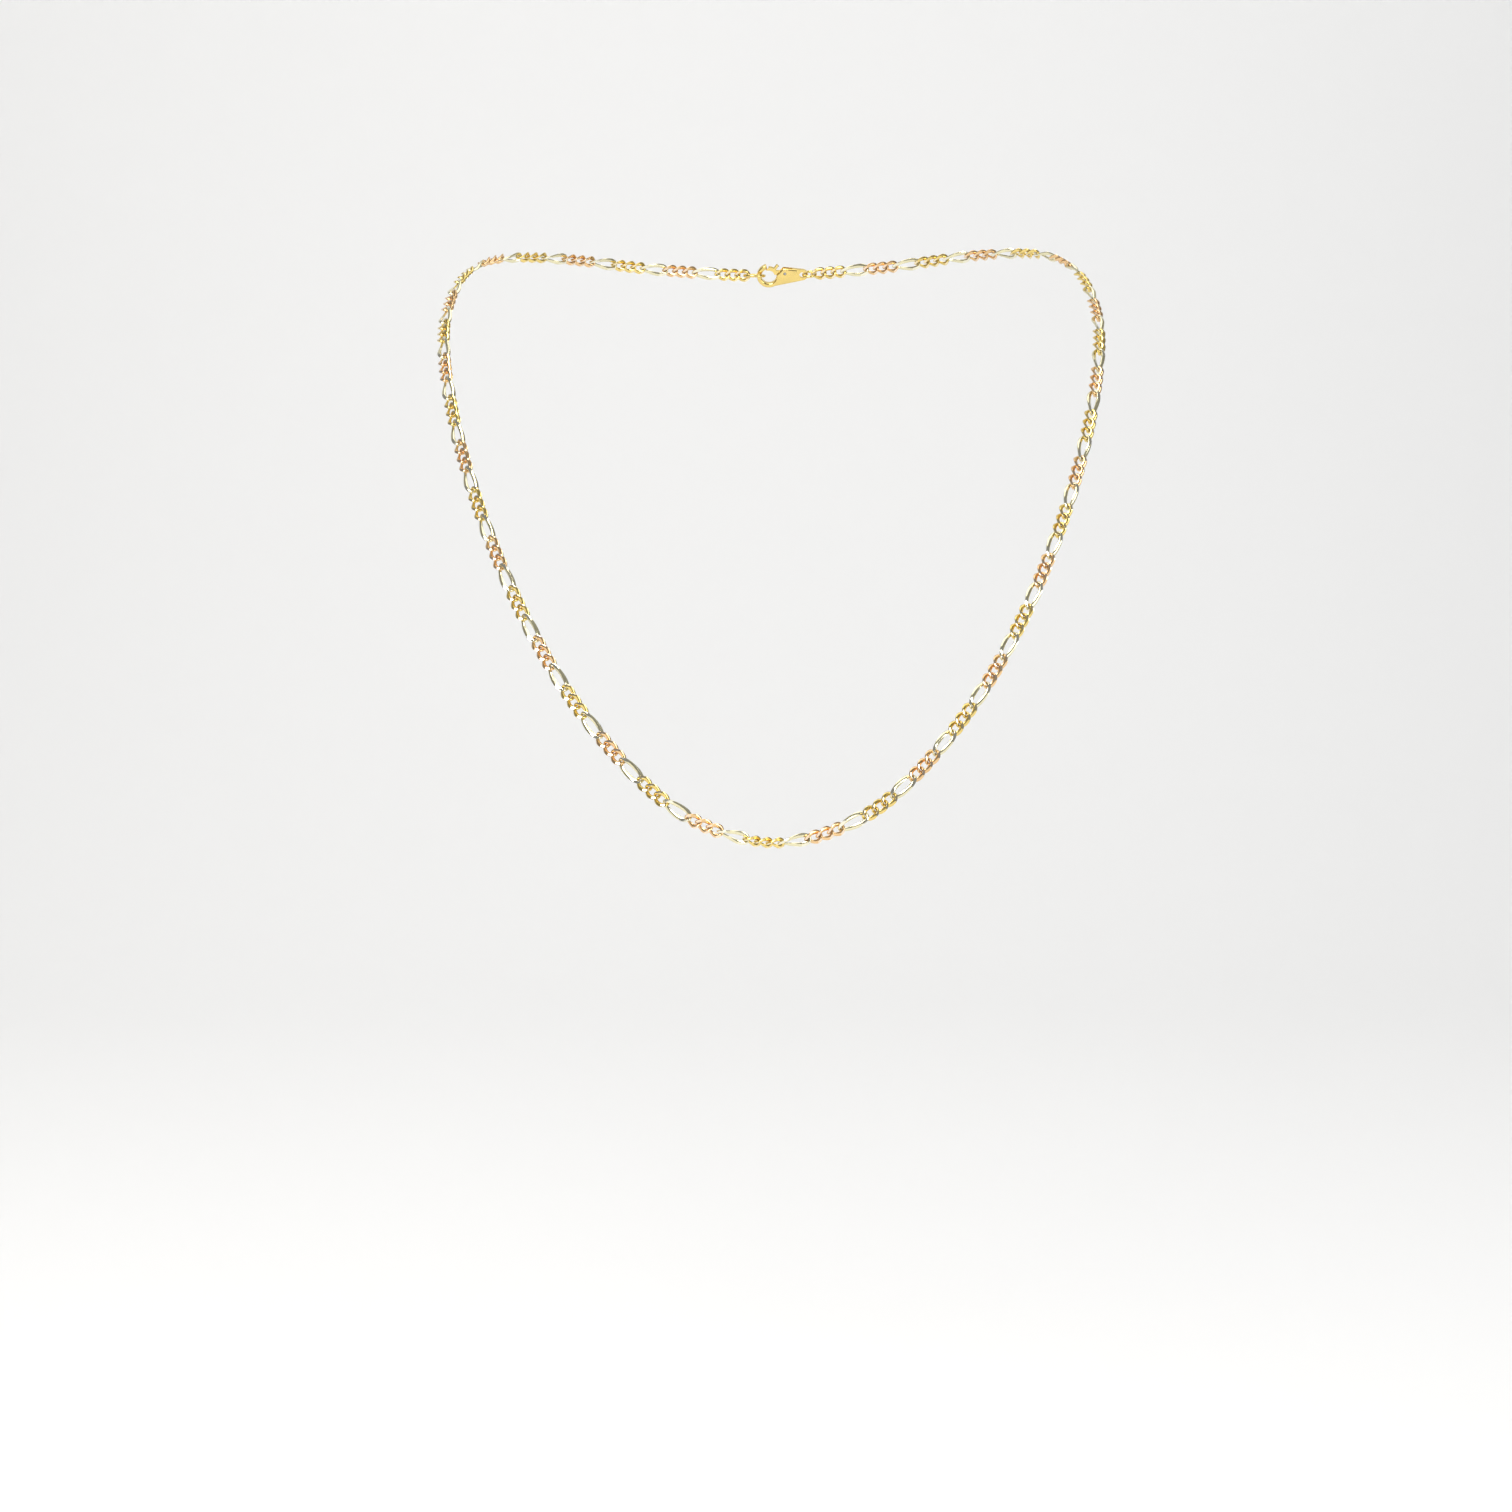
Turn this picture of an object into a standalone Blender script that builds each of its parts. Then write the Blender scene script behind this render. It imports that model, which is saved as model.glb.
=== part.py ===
"""A 20 inch figaro chain necklace in three golds, fastened behind the neck with a sprung claw clasp.

The chain repeats one long link and three short ones. It is modelled as worn: it hangs in a U on the chest,
passes over both shoulders and closes at the nape. The origin is the flat of the claw that bears on the nape,
+Z is up and the chest faces -Y. Every link is an oval of wire, twisted about the chain's line so that
neighbours lie flat through each other.
"""

from math import cos, pi, radians, sin, sqrt

import bmesh
import bpy
import numpy as np
from mathutils import Matrix, Vector

MM = 0.001

# The chain
CHAIN_WIDTH = 3.0 * MM
SIDE_WIRE = 0.80 * MM  # width of the wire along a link's sides, where it is rolled flat
END_WIRE = 0.55 * MM  # width of the wire round a link's ends
WIRE_THICKNESS = 0.50 * MM
SHORT_PITCH = 2.30 * MM  # from bearing to bearing
LONG_PITCH = 5.25 * MM
END_TWIST = radians(-45)  # how far each end of a link is turned from the link's middle
SHORTS_IN_GROUP = 3
UNITS_PER_SIDE = 20
LOOSE_UNITS = 4  # from the lowest point up, the units whose long link and trio are nodes of their own
PLAY = 0.10 * MM  # between two links that turn on each other
BITE = 0.10 * MM  # where the links of one node are merged
SLIP = -2.6 * MM  # the chain has slipped this far round the neck

# The lowest links have rolled over about the chain's own line
BOTTOM_ROLL = radians(56)  # of the bottom trio
ROLL_REACH = 24.3 * MM  # from the bottom trio to where the chain lies flat again

# The clasp
CLAW_THICKNESS = 1.6 * MM
TAIL_THICKNESS = 0.9 * MM
EYE_RADIUS = 1.75 * MM  # the hook's eye
HOOK_WALL = 1.0 * MM
EYE_TO_TAIL = 7.7 * MM  # from the eye's centre to the tail hole's centre
TAIL_HOLE = 0.70 * MM
TAIL_WALL = 0.55 * MM
HOOK_TIP = radians(78)
SLOT_WIDTH = 0.80 * MM
SLOT_GAP = 0.10 * MM
LEVER_WALL = 0.95 * MM
LEVER_TIP_WALL = 0.35 * MM  # where the lever's end reaches under the hook's tip
LEVER_GAP = 0.12 * MM
LEVER_PIVOT = (-3.7 * MM, 0.6 * MM)  # from the eye's centre
LEVER_HEEL = 0.75 * MM
THUMB_TAB = 1.1 * MM  # how far the tab stands out
NAPE_SEAT = (-4.9 * MM, -0.5 * MM)  # from the eye's centre, on the claw's flat inner side
PIN_RADIUS = 0.30 * MM
PIN_GAP = 0.05 * MM
CLAW_RING_RADIUS = 1.45 * MM
CLAW_RING_WIRE = 0.56 * MM
CATCH_RING_RADIUS = 2.30 * MM
CATCH_RING_WIRE = 0.66 * MM
CATCH_RING_TILT = radians(20)
CATCH_RING_SWING = radians(10)
RING_PLAY = 0.14 * MM

# Half of the line that the chain lies on, from its lowest point over the shoulder to the nape: places in
# millimetres to the side, back and up, and which way the skin faces there. Only its shape counts, because
# it is scaled to the chain's own length.
ROUTE = (
    ((0.0, 0.0, 0.0), (0.00, -1.00, 0.08)),
    ((15.0, 0.8, 3.9), (0.10, -0.98, 0.18)),
    ((26.7, 4.6, 12.1), (0.20, -0.93, 0.30)),
    ((38.6, 10.8, 25.3), (0.28, -0.88, 0.40)),
    ((47.4, 18.3, 38.5), (0.34, -0.83, 0.46)),
    ((54.4, 26.3, 52.0), (0.40, -0.78, 0.50)),
    ((60.2, 35.8, 65.6), (0.46, -0.72, 0.54)),
    ((64.9, 47.0, 79.5), (0.52, -0.64, 0.60)),
    ((67.9, 60.0, 92.5), (0.54, -0.52, 0.70)),
    ((68.4, 73.0, 101.0), (0.52, -0.34, 0.80)),
    ((66.0, 86.5, 108.3), (0.48, -0.10, 0.88)),
    ((59.5, 99.0, 112.0), (0.44, 0.22, 0.88)),
    ((46.0, 110.5, 112.0), (0.34, 0.52, 0.78)),
    ((25.0, 119.0, 109.5), (0.16, 0.82, 0.55)),
    ((0.0, 121.7, 108.0), (0.00, 0.92, 0.38)),
)
SAMPLES_PER_SPAN = 60

GOLDS = {
    "white_gold": ((0.86, 0.84, 0.74, 1.0), 0.16),
    "yellow_gold": ((0.87, 0.68, 0.30, 1.0), 0.18),
    "rose_gold": ((0.86, 0.57, 0.40, 1.0), 0.18),
    "spring_steel": ((0.56, 0.57, 0.58, 1.0), 0.30),
}

GROUP_PITCH = SHORTS_IN_GROUP * SHORT_PITCH
UNIT_PITCH = LONG_PITCH + GROUP_PITCH
CHAIN_LENGTH = GROUP_PITCH + 2 * UNITS_PER_SIDE * UNIT_PITCH

# The clasp's bearings, measured along the chain from the eye's centre towards the hook
HOOK_BEARING = EYE_RADIUS
TAIL_BEARING = -EYE_TO_TAIL - TAIL_HOLE


def ring_slack(radius, wire, thickness):
    """How far a ring stands off the middle of a wall so that its curve clears the wall's edges."""
    inside = radius - wire / 2
    return RING_PLAY + inside - sqrt(inside**2 - (thickness / 2) ** 2)


CLAW_RING_SLACK = ring_slack(CLAW_RING_RADIUS, CLAW_RING_WIRE, TAIL_THICKNESS)
SLANTED_CLAW = CLAW_THICKNESS / cos(CATCH_RING_TILT + CATCH_RING_SWING)  # its thickness along the tilted ring
CATCH_RING_SLACK = ring_slack(CATCH_RING_RADIUS, CATCH_RING_WIRE, SLANTED_CLAW)
CLAW_RING_PITCH = 2 * CLAW_RING_RADIUS - CLAW_RING_WIRE - 2 * CLAW_RING_SLACK
CATCH_RING_PITCH = 2 * CATCH_RING_RADIUS - CATCH_RING_WIRE - 2 * CATCH_RING_SLACK
CLASP_LENGTH = CLAW_RING_PITCH + HOOK_BEARING - TAIL_BEARING + CATCH_RING_PITCH
NECKLACE_LENGTH = CHAIN_LENGTH + CLASP_LENGTH


# ---------------------------------------------------------------- the line the chain lies on


def mirrored(row):
    (x, y, z), (u, v, w) = row
    return (-x, y, z), (-u, v, w)


def catmull_rom(a, b, c, d, t):
    return 0.5 * (2 * b + (c - a) * t + (2 * a - 5 * b + 4 * c - d) * t**2 + (3 * b - a - 3 * c + d) * t**3)


class Route:
    """The closed line, read by the distance along it from the lowest point, positive towards +X."""

    def __init__(self, length):
        rows = list(ROUTE) + [mirrored(row) for row in ROUTE[-2:0:-1]]
        knots = np.array([place + facing for place, facing in rows], float)
        knots[:, :3] *= MM
        steps = np.arange(SAMPLES_PER_SPAN)[:, None] / SAMPLES_PER_SPAN
        count = len(knots)
        spans = [
            catmull_rom(knots[i - 1], knots[i], knots[(i + 1) % count], knots[(i + 2) % count], steps)
            for i in range(count)
        ]
        line = np.vstack(spans + [knots[:1]])
        along = np.linalg.norm(np.diff(line[:, :3], axis=0), axis=1).cumsum()
        scale = length / along[-1]
        line[:, :3] *= scale
        self.length = length
        self.along = np.append(0.0, along) * scale
        self.line = line
        self.origin = Vector((0, 0, 0))

    def read(self, distance):
        at = distance % self.length
        values = [np.interp(at, self.along, column) for column in self.line.T]
        return Vector(values[:3]) - self.origin, Vector(values[3:]).normalized()


def roll_at(distance):
    """How far the chain is turned over on its own line: most at its lowest trio, and less to each side."""
    return BOTTOM_ROLL * max(0.0, 1 - abs(distance - SLIP) / ROLL_REACH)


def frame_between(route, start, end, roll=0.0):
    """X along the chain, Z away from the skin, with the origin halfway between the two bearings."""
    first, _ = route.read(start)
    last, _ = route.read(end)
    _, facing = route.read((start + end) / 2)
    along = (last - first).normalized()
    out = (facing - facing.dot(along) * along).normalized()
    out.rotate(Matrix.Rotation(roll, 3, along))
    across = out.cross(along)
    turned = Matrix((along, across, out)).transposed().to_4x4()
    return Matrix.Translation((first + last) / 2) @ turned


# ---------------------------------------------------------------- shared shape tools


def finish_object(name, bm, material, helper=False):
    bmesh.ops.recalc_face_normals(bm, faces=bm.faces)
    if bm.calc_volume(signed=True) < 0:
        bmesh.ops.reverse_faces(bm, faces=bm.faces)
    mesh = bpy.data.meshes.new(name)
    bm.to_mesh(mesh)
    bm.free()
    mesh.materials.append(material)
    obj = bpy.data.objects.new(name, mesh)
    bpy.context.scene.collection.objects.link(obj)
    if helper:
        obj.hide_render = True
        obj.display_type = "WIRE"
    return obj


def gold(name):
    colour, roughness = GOLDS[name]
    material = bpy.data.materials.new(name)
    material.use_nodes = True
    shader = material.node_tree.nodes["Principled BSDF"]
    shader.inputs["Base Color"].default_value = colour
    shader.inputs["Metallic"].default_value = 1.0
    shader.inputs["Roughness"].default_value = roughness
    return material


def boolean(obj, other, operation):
    step = obj.modifiers.new(other.name, "BOOLEAN")
    step.operation = operation
    step.solver = "EXACT"
    step.object = other


def arc(centre, radius, start, end, steps):
    return [
        (
            centre[0] + radius * cos(start + (end - start) * i / steps),
            centre[1] + radius * sin(start + (end - start) * i / steps),
        )
        for i in range(steps + 1)
    ]


def plate(outline, thickness):
    """A flat piece cut to an outline in X and Y, centred on Z = 0."""
    bm = bmesh.new()
    face = bm.faces.new([bm.verts.new((x, y, -thickness / 2)) for x, y in outline])
    raised = bmesh.ops.extrude_face_region(bm, geom=[face])["geom"]
    corners = [item for item in raised if isinstance(item, bmesh.types.BMVert)]
    bmesh.ops.translate(bm, verts=corners, vec=(0, 0, thickness))
    return bm


def cylinder(name, centre, radius, length, material, helper=False, sides=16):
    bm = bmesh.new()
    bmesh.ops.create_cone(bm, cap_ends=True, segments=sides, radius1=radius, radius2=radius, depth=length)
    bmesh.ops.translate(bm, verts=bm.verts, vec=(centre[0], centre[1], 0))
    return finish_object(name, bm, material, helper)


def wire_ring(name, radius, wire, material, steps=20, sides=6):
    """A round ring in the X-Z plane."""
    bm = bmesh.new()
    section = bmesh.ops.create_circle(bm, segments=sides, radius=wire / 2)["verts"]
    bmesh.ops.translate(bm, verts=section, vec=(radius, 0, 0))
    bmesh.ops.spin(
        bm,
        geom=bm.verts[:] + bm.edges[:],
        cent=(0, 0, 0),
        axis=(0, 1, 0),
        angle=2 * pi,
        steps=steps,
        use_merge=True,
    )
    return finish_object(name, bm, material)


# ---------------------------------------------------------------- the links

LINK_CORNERS = 8
HALF_STEP = pi / LINK_CORNERS


def add_link(bm, pitch, near_gap, far_gap, frame):
    """Adds one link. The gaps are from its ends to its neighbours' ends, and negative where they merge."""
    half_width = (CHAIN_WIDTH - SIDE_WIRE) / 2
    near = (pitch + near_gap + END_WIRE) / 2
    far = (pitch + far_gap + END_WIRE) / 2
    radius = 2 * half_width
    section = bmesh.ops.create_circle(bm, segments=4, radius=sqrt(0.5))["verts"]
    bmesh.ops.rotate(bm, verts=section, cent=(0, 0, 0), matrix=Matrix.Rotation(pi / 4, 3, "Z"))
    bmesh.ops.scale(bm, verts=section, vec=(half_width, WIRE_THICKNESS, 1))
    bmesh.ops.rotate(bm, verts=section, cent=(0, 0, 0), matrix=Matrix.Rotation(pi / 2, 3, "X"))
    bmesh.ops.translate(bm, verts=section, vec=(radius, 0, 0))
    bmesh.ops.rotate(bm, verts=section, cent=(0, 0, 0), matrix=Matrix.Rotation(HALF_STEP, 3, "Z"))
    edges = list({edge for vert in section for edge in vert.link_edges})
    bmesh.ops.spin(
        bm,
        geom=section + edges,
        cent=(0, 0, 0),
        axis=(0, 0, 1),
        angle=2 * pi,
        steps=LINK_CORNERS,
        use_merge=True,
    )
    ring = {vert for vert in bm.verts if not vert.tag}
    for vert in ring:
        shape_link_corner(vert, radius, half_width, near, far)
        vert.co = frame @ vert.co
        vert.tag = True


def shape_link_corner(vert, radius, half_width, near, far):
    """Turns a corner of a round ring into the same corner of the twisted oval."""
    flat = Vector((vert.co.x, vert.co.y))
    outward = flat.normalized()
    offset = (flat.length - radius) / half_width
    reach = far if outward.x > 0 else near
    at_end = abs(outward.x) > abs(outward.y)
    wire = END_WIRE if at_end else SIDE_WIRE
    straight = (reach - half_width) * (1 if outward.x > 0 else -1)
    corner = outward * (half_width + offset * wire) / cos(HALF_STEP)
    x = straight + corner.x
    twist = END_TWIST * max(-1.0, min(1.0, x / reach))
    vert.co = Matrix.Rotation(twist, 3, "X") @ Vector((x, corner.y, vert.co.z))


def chain_run(route, name, start, pitches, material):
    """One node: the links with these pitches, from one bearing to the next, merged where they hook."""
    bodies = []
    roll = roll_at(start + sum(pitches) / 2)
    at = start
    for index, pitch in enumerate(pitches):
        frame = frame_between(route, at, at + pitch, roll)
        near_gap = PLAY if index == 0 else -BITE
        far_gap = PLAY if index == len(pitches) - 1 else -BITE
        bm = bmesh.new()
        add_link(bm, pitch, near_gap, far_gap, frame)
        bodies.append(bm)
        at += pitch
    obj = finish_object(name, bodies[0], material)
    for index, bm in enumerate(bodies[1:], start=2):
        boolean(obj, finish_object(f"{name}_link_{index}", bm, material, helper=True), "UNION")
    return obj


def build_chain(route, golds):
    """Every chain node. The pitches run from the trio at the bottom outwards, the same way on both sides."""
    long_link = [LONG_PITCH]
    trio = [SHORT_PITCH] * SHORTS_IN_GROUP
    half_trio = GROUP_PITCH / 2
    chain_run(route, "trio_bottom", SLIP - half_trio, trio, golds["yellow_gold"])
    for level in range(1, UNITS_PER_SIDE + 1):
        inner = half_trio + (level - 1) * UNIT_PITCH
        middle = inner + LONG_PITCH
        outer = inner + UNIT_PITCH
        colour = golds["rose_gold" if level % 2 else "yellow_gold"]
        if level <= LOOSE_UNITS:
            both_sides(route, f"long_link_{level:02d}", inner, middle, long_link, golds["white_gold"])
            both_sides(route, f"trio_{level:02d}", middle, outer, trio, colour)
        else:
            both_sides(route, f"unit_{level:02d}", inner, outer, long_link + trio, colour)


def both_sides(route, name, inner, outer, pitches, material):
    """The same run of links on both sides, between these distances from the middle of the bottom trio."""
    chain_run(route, f"{name}_right", SLIP + inner, pitches, material)
    chain_run(route, f"{name}_left", SLIP - outer, pitches[::-1], material)


# ---------------------------------------------------------------- the clasp


def claw_body(golds):
    """A hook, open on its upper side, that narrows to a tail with a hole for the ring."""
    yellow = golds["yellow_gold"]
    outer = EYE_RADIUS + HOOK_WALL
    tail = TAIL_HOLE + TAIL_WALL
    eye = (0.0, 0.0)
    tail_hole = (-EYE_TO_TAIL, 0.0)
    shoulder = radians(152)
    outline = arc(eye, outer, HOOK_TIP, radians(-118), 14)
    outline += arc(tail_hole, tail, radians(-100), radians(-260), 8)
    outline += [(outer * cos(shoulder) - 0.9 * MM, outer * sin(shoulder) + 0.55 * MM)]
    outline += arc(eye, EYE_RADIUS, radians(172), radians(360) + HOOK_TIP, 16)
    obj = finish_object("claw_body", plate(outline, CLAW_THICKNESS), yellow)
    through = 2 * CLAW_THICKNESS
    cuts = [
        cylinder("tail_hole_cut", tail_hole, TAIL_HOLE, through, yellow, helper=True),
        cylinder("pin_hole_cut", LEVER_PIVOT, PIN_RADIUS + PIN_GAP, through, yellow, helper=True),
        box_cut(
            "slot_cut",
            (LEVER_PIVOT[0] - 1.75 * MM, LEVER_PIVOT[1] - 1.45 * MM, -SLOT_WIDTH / 2),
            (-EYE_RADIUS + 0.6 * MM, EYE_RADIUS + HOOK_WALL + 1 * MM, SLOT_WIDTH / 2),
            yellow,
        ),
    ]
    tail_end = -EYE_TO_TAIL - 2 * tail
    tail_step = -EYE_TO_TAIL + tail
    for name, low, high in (
        ("tail_inner_cut", -CLAW_THICKNESS, -TAIL_THICKNESS / 2),
        ("tail_outer_cut", TAIL_THICKNESS / 2, CLAW_THICKNESS),
    ):
        cuts.append(box_cut(name, (tail_end, -2 * tail, low), (tail_step, 2 * tail, high), yellow))
    for cut in cuts:
        boolean(obj, cut, "DIFFERENCE")
    return [obj] + cuts


def box_cut(name, low, high, material):
    bm = bmesh.new()
    bmesh.ops.create_cube(bm, size=1)
    bmesh.ops.scale(bm, verts=bm.verts, vec=Vector(high) - Vector(low))
    bmesh.ops.translate(bm, verts=bm.verts, vec=(Vector(high) + Vector(low)) / 2)
    return finish_object(name, bm, material, helper=True)


def claw_lever(golds):
    """The gate: a curved arm from the pin to the inside of the hook's tip, with a thumb tab on its back."""
    under_tip = EYE_RADIUS - LEVER_GAP
    inner = under_tip - LEVER_TIP_WALL
    outer = inner + LEVER_WALL
    tip = HOOK_TIP - radians(9)
    outline = arc((0, 0), under_tip, tip, HOOK_TIP + radians(6), 2)
    outline += arc((0, 0), outer, HOOK_TIP + radians(14), radians(122), 4)
    outline += arc((0, 0), outer + THUMB_TAB, radians(124), radians(136), 2)
    outline += arc((0, 0), outer, radians(139), radians(147), 2)
    outline += arc(LEVER_PIVOT, LEVER_HEEL, radians(100), radians(290), 8)
    outline += arc((0, 0), inner, radians(170), tip, 8)
    obj = finish_object("claw_lever", plate(outline, SLOT_WIDTH - 2 * SLOT_GAP), golds["yellow_gold"])
    hole = cylinder(
        "lever_hole_cut", LEVER_PIVOT, PIN_RADIUS + PIN_GAP, CLAW_THICKNESS, golds["yellow_gold"], helper=True
    )
    boolean(obj, hole, "DIFFERENCE")
    return [obj, hole]


def lever_spring(golds):
    """A bent leaf in the slot, behind the lever's heel."""
    leaf = 0.16 * MM
    centre = (LEVER_PIVOT[0] - 1.62 * MM, LEVER_PIVOT[1] - 0.1 * MM)
    bend = 0.62 * MM
    outline = arc(centre, bend + leaf / 2, radians(-55), radians(55), 6)
    outline += arc(centre, bend - leaf / 2, radians(55), radians(-55), 6)
    return finish_object("lever_spring", plate(outline, SLOT_WIDTH - 2 * SLOT_GAP), golds["spring_steel"])


def claw_frame(route, eye_at):
    """The claw's place, with its origin at the middle of the eye."""
    middle = frame_between(route, eye_at + TAIL_BEARING, eye_at + HOOK_BEARING)
    return middle @ Matrix.Translation((-(TAIL_BEARING + HOOK_BEARING) / 2, 0, 0))


def build_clasp(route, golds, eye_at):
    """The claw on the chain's line, with a ring at each end."""
    tail_at = eye_at + TAIL_BEARING
    hook_at = eye_at + HOOK_BEARING
    pin = cylinder("lever_pin", LEVER_PIVOT, PIN_RADIUS, CLAW_THICKNESS - 0.1 * MM, golds["spring_steel"])
    for obj in claw_body(golds) + claw_lever(golds) + [lever_spring(golds), pin]:
        obj.matrix_world = claw_frame(route, eye_at)
    claw_ring = wire_ring("claw_ring", CLAW_RING_RADIUS, CLAW_RING_WIRE, golds["yellow_gold"], steps=16)
    claw_ring.matrix_world = frame_between(route, tail_at - CLAW_RING_PITCH, tail_at)
    catch_ring = wire_ring("catch_ring", CATCH_RING_RADIUS, CATCH_RING_WIRE, golds["yellow_gold"])
    catch_ring.matrix_world = frame_between(route, hook_at, hook_at + CATCH_RING_PITCH, CATCH_RING_TILT)


def main():
    for obj in list(bpy.data.objects):
        bpy.data.objects.remove(obj)
    golds = {name: gold(name) for name in GOLDS}
    route = Route(NECKLACE_LENGTH)
    eye_at = SLIP + CHAIN_LENGTH / 2 + CLAW_RING_PITCH - TAIL_BEARING
    route.origin = claw_frame(route, eye_at) @ Vector((*NAPE_SEAT, -CLAW_THICKNESS / 2))
    build_chain(route, golds)
    build_clasp(route, golds, eye_at)


main()
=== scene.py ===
"""The looks of a figaro chain necklace in three golds, worn in a U and clasped at the nape.

Every link is its own piece: a wire bent to an oval, twisted so that it lies flat through its neighbours, then
ground flat on both faces of the chain. The clasp is a cast claw with a sprung lever.
"""

from math import cos, pi, radians, sin, sqrt

import bmesh
import bpy
import numpy as np
from mathutils import Matrix, Vector

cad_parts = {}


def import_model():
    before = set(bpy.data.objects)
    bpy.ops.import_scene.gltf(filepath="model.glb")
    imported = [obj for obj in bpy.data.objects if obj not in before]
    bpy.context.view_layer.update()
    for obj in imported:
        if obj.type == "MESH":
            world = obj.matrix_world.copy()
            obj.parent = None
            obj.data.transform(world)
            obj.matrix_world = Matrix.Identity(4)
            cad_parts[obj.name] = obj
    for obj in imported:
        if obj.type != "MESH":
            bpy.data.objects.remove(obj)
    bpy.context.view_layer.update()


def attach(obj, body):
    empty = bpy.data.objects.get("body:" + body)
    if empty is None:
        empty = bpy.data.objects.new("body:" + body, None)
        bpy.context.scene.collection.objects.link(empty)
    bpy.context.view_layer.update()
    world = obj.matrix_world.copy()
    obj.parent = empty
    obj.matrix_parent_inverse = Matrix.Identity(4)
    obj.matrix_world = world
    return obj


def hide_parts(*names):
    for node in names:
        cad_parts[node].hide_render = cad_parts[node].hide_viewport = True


MM = 0.001

# ---------------------------------------------------------------- the necklace's own sizes

CHAIN_WIDTH = 3.0 * MM
SIDE_WIRE = 0.90 * MM  # where a link's sides are rolled wider
END_WIRE = 0.66 * MM
WIRE_THICKNESS = 0.58 * MM
PLAY = 0.16 * MM  # between two links where they bear on each other
SHORT_PITCH = 2.30 * MM
LONG_PITCH = 5.25 * MM
END_TWIST = radians(-45)
GRIND_HEIGHT = 0.62 * MM  # of the chain's flat faces above its middle
SHORTS_IN_GROUP = 3
UNITS_PER_SIDE = 20
LOOSE_UNITS = 4
SLIP = -2.6 * MM
BOTTOM_ROLL = radians(56)
ROLL_REACH = 24.3 * MM

CLAW_THICKNESS = 1.6 * MM
TAIL_THICKNESS = 0.9 * MM
EYE_RADIUS = 1.75 * MM
HOOK_WALL = 1.0 * MM
EYE_TO_TAIL = 7.7 * MM
TAIL_HOLE = 0.70 * MM
TAIL_WALL = 0.55 * MM
HOOK_TIP = radians(78)
SLOT_WIDTH = 0.80 * MM
SLOT_GAP = 0.10 * MM
LEVER_WALL = 0.95 * MM
LEVER_TIP_WALL = 0.35 * MM
LEVER_GAP = 0.12 * MM
LEVER_PIVOT = (-3.7 * MM, 0.6 * MM)
LEVER_HEEL = 0.75 * MM
THUMB_TAB = 1.1 * MM
NAPE_SEAT = (-4.9 * MM, -0.5 * MM)
PIN_RADIUS = 0.30 * MM
PIN_GAP = 0.05 * MM
PIN_SINK = 0.05 * MM  # each end below the claw's face
CLAW_RING_RADIUS = 1.45 * MM
CLAW_RING_WIRE = 0.56 * MM
CATCH_RING_RADIUS = 2.30 * MM
CATCH_RING_WIRE = 0.66 * MM
CATCH_RING_TILT = radians(20)
CATCH_RING_SWING = radians(10)
RING_PLAY = 0.14 * MM

# Half of the line that the chain lies on, from its lowest point over the shoulder to the nape: places in
# millimetres to the side, back and up, and which way the skin faces there.
ROUTE = (
    ((0.0, 0.0, 0.0), (0.00, -1.00, 0.08)),
    ((15.0, 0.8, 3.9), (0.10, -0.98, 0.18)),
    ((26.7, 4.6, 12.1), (0.20, -0.93, 0.30)),
    ((38.6, 10.8, 25.3), (0.28, -0.88, 0.40)),
    ((47.4, 18.3, 38.5), (0.34, -0.83, 0.46)),
    ((54.4, 26.3, 52.0), (0.40, -0.78, 0.50)),
    ((60.2, 35.8, 65.6), (0.46, -0.72, 0.54)),
    ((64.9, 47.0, 79.5), (0.52, -0.64, 0.60)),
    ((67.9, 60.0, 92.5), (0.54, -0.52, 0.70)),
    ((68.4, 73.0, 101.0), (0.52, -0.34, 0.80)),
    ((66.0, 86.5, 108.3), (0.48, -0.10, 0.88)),
    ((59.5, 99.0, 112.0), (0.44, 0.22, 0.88)),
    ((46.0, 110.5, 112.0), (0.34, 0.52, 0.78)),
    ((25.0, 119.0, 109.5), (0.16, 0.82, 0.55)),
    ((0.0, 121.7, 108.0), (0.00, 0.92, 0.38)),
)
SAMPLES_PER_SPAN = 60

# The view and the room
VIEW_DISTANCE = 0.583
VIEW_TILT = radians(9)
VIEW_ROLL = radians(-0.45)
VIEW_SIDE = -0.0039  # from the chain's lowest point to the middle of the view
VIEW_RISE = 0.0170
LENS = 71.2
FLOOR_DROP = 0.125  # the floor is this far below the lowest link
FLOOR_REACH = 2.0
WALL_BACK = 0.6
WALL_HEIGHT = 1.6
SWEEP = 0.35

GROUP_PITCH = SHORTS_IN_GROUP * SHORT_PITCH
UNIT_PITCH = LONG_PITCH + GROUP_PITCH
CHAIN_LENGTH = GROUP_PITCH + 2 * UNITS_PER_SIDE * UNIT_PITCH


def ring_slack(radius, wire, thickness):
    """How far a ring stands off the middle of a wall so that its curve clears the wall's edges."""
    inside = radius - wire / 2
    return RING_PLAY + inside - sqrt(inside**2 - (thickness / 2) ** 2)


HOOK_BEARING = EYE_RADIUS
TAIL_BEARING = -EYE_TO_TAIL - TAIL_HOLE
CLAW_RING_SLACK = ring_slack(CLAW_RING_RADIUS, CLAW_RING_WIRE, TAIL_THICKNESS)
SLANTED_CLAW = CLAW_THICKNESS / cos(CATCH_RING_TILT + CATCH_RING_SWING)
CATCH_RING_SLACK = ring_slack(CATCH_RING_RADIUS, CATCH_RING_WIRE, SLANTED_CLAW)
CLAW_RING_PITCH = 2 * CLAW_RING_RADIUS - CLAW_RING_WIRE - 2 * CLAW_RING_SLACK
CATCH_RING_PITCH = 2 * CATCH_RING_RADIUS - CATCH_RING_WIRE - 2 * CATCH_RING_SLACK
CLASP_LENGTH = CLAW_RING_PITCH + HOOK_BEARING - TAIL_BEARING + CATCH_RING_PITCH
NECKLACE_LENGTH = CHAIN_LENGTH + CLASP_LENGTH


# ---------------------------------------------------------------- the line the chain lies on


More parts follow.
